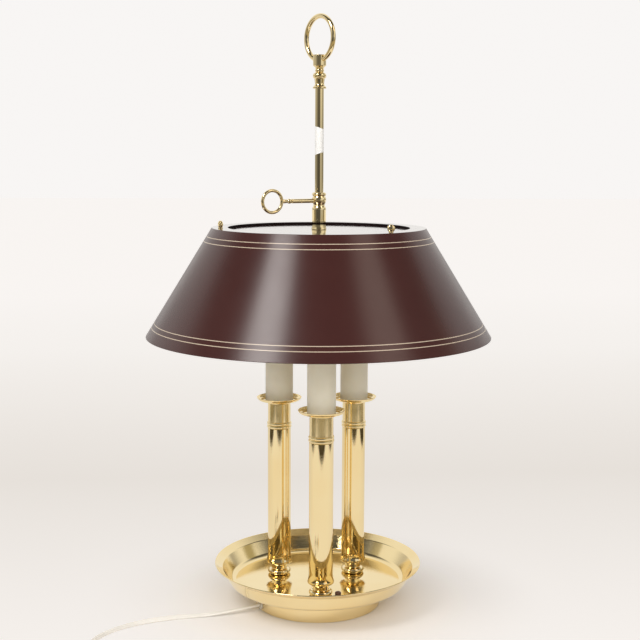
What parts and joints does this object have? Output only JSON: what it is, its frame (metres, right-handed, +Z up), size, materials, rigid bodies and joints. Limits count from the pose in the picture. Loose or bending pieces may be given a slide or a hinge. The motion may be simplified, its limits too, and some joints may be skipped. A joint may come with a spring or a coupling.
{
  "type": "bouillotte lamp",
  "caption": "Bouillotte table lamp: brass tray base, candle columns round a centre pole, and a tole shade that slides on it and locks with a key.",
  "frame": {"origin": "middle of the felt underside, where the centre pole's axis meets the table", "axes": "+Z up along the pole; -Y is the side with the front column and the switch; +X is to the right seen from there"},
  "size_m": [0.4533, 0.488, 0.6675],
  "materials": {
    "brass": "polished and lacquered",
    "tole": "dark red-brown enamel, half gloss",
    "iron": "as cast",
    "felt": "felt",
    "steel": "zinc plated",
    "candle_ivory": "ivory sleeve",
    "black_plastic": "moulded",
    "brown_plastic": "moulded, ribbed",
    "ivory_plastic": "moulded",
    "white_vinyl": "flexible vinyl",
    "bulb_metal": "rolled",
    "bulb_glass": "frosted white"
  },
  "bodies": {
    "base": {"base_dish": "brass", "base_foot": "brass", "base_weight": "iron", "felt_pad": "felt", "cord_bushing": "ivory_plastic", "column_nuts": "steel", "pole": "brass", "pole_foot": "brass", "pole_nut": "steel", "finial": "brass", "finial_ring": "brass", "switch_can": "black_plastic", "switch_nut": "brass", "wire_connectors": "ivory_plastic", "cord_run": "white_vinyl", "cord_coil": "white_vinyl", "cord_tail": "white_vinyl", "plug_body": "white_vinyl", "plug_blades": "brass", "column_foot_1": "brass", "column_foot_2": "brass", "column_foot_3": "brass", "column_tube_1": "brass", "column_tube_2": "brass", "column_tube_3": "brass", "column_neck_1": "brass", "column_neck_2": "brass", "column_neck_3": "brass", "candle_cup_1": "brass", "candle_cup_2": "brass", "candle_cup_3": "brass", "candle_cover_1": "candle_ivory", "candle_cover_2": "candle_ivory", "candle_cover_3": "candle_ivory", "column_pipe_1": "steel", "column_pipe_2": "steel", "column_pipe_3": "steel", "socket_body_1": "black_plastic", "socket_body_2": "black_plastic", "socket_body_3": "black_plastic", "socket_shell_1": "brass", "socket_shell_2": "brass", "socket_shell_3": "brass", "bulb_cap_1": "bulb_metal", "bulb_cap_2": "bulb_metal", "bulb_cap_3": "bulb_metal", "bulb_glass_1": "bulb_glass", "bulb_glass_2": "bulb_glass", "bulb_glass_3": "bulb_glass"},
    "collar": {"shade_collar": "brass", "collar_nut": "brass"},
    "key": {"key_shank": "brass", "key_ring": "brass"},
    "shade": {"shade_cone": "tole", "shade_flange": "tole", "shade_plate": "tole", "shade_screws": "brass", "shade_nuts": "brass"},
    "knob": {"switch_knob": "brown_plastic"}
  },
  "joints": [
    {"name": "shade_slide", "type": "slide", "parent": "base", "child": "collar", "axis": [0, 0, 1], "range_m": [-0.038, 0.112]},
    {"name": "shade_turn", "type": "hinge", "parent": "collar", "child": "shade", "pos_m": [0, 0, 0.4316], "axis": [0, 0, 1], "continuous": true},
    {"name": "key_turn", "type": "hinge", "parent": "collar", "child": "key", "pos_m": [0, 0, 0.46375], "axis": [-0.891, -0.454, 0], "range_deg": [0, 360]},
    {"name": "knob_turn", "type": "hinge", "parent": "base", "child": "knob", "pos_m": [0.019, -0.0565, 0.03], "axis": [0, 0, 1], "continuous": true}
  ]
}
